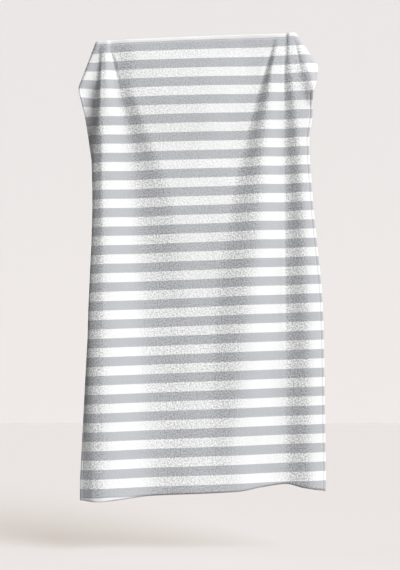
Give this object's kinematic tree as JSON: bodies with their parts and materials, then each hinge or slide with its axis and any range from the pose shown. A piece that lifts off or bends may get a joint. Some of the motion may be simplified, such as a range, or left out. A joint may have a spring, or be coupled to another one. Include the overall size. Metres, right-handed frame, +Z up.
{
  "type": "beach towel",
  "caption": "Striped terry beach towel held up by its top edge: it hangs open in long soft folds, its top corners folded behind and its bottom hem curled back.",
  "frame": {"origin": "the middle of the top edge, halfway between the two places where the towel is held", "axes": "+Z up along the towel's length, -Y the way its front looks, +X to the right across its width"},
  "size_m": [0.8171, 0.1217, 1.5499],
  "materials": {
    "terry": "matt cotton terry, white with even grey bands across it"
  },
  "bodies": {
    "root": {"towel": "terry"}
  },
  "joints": []
}
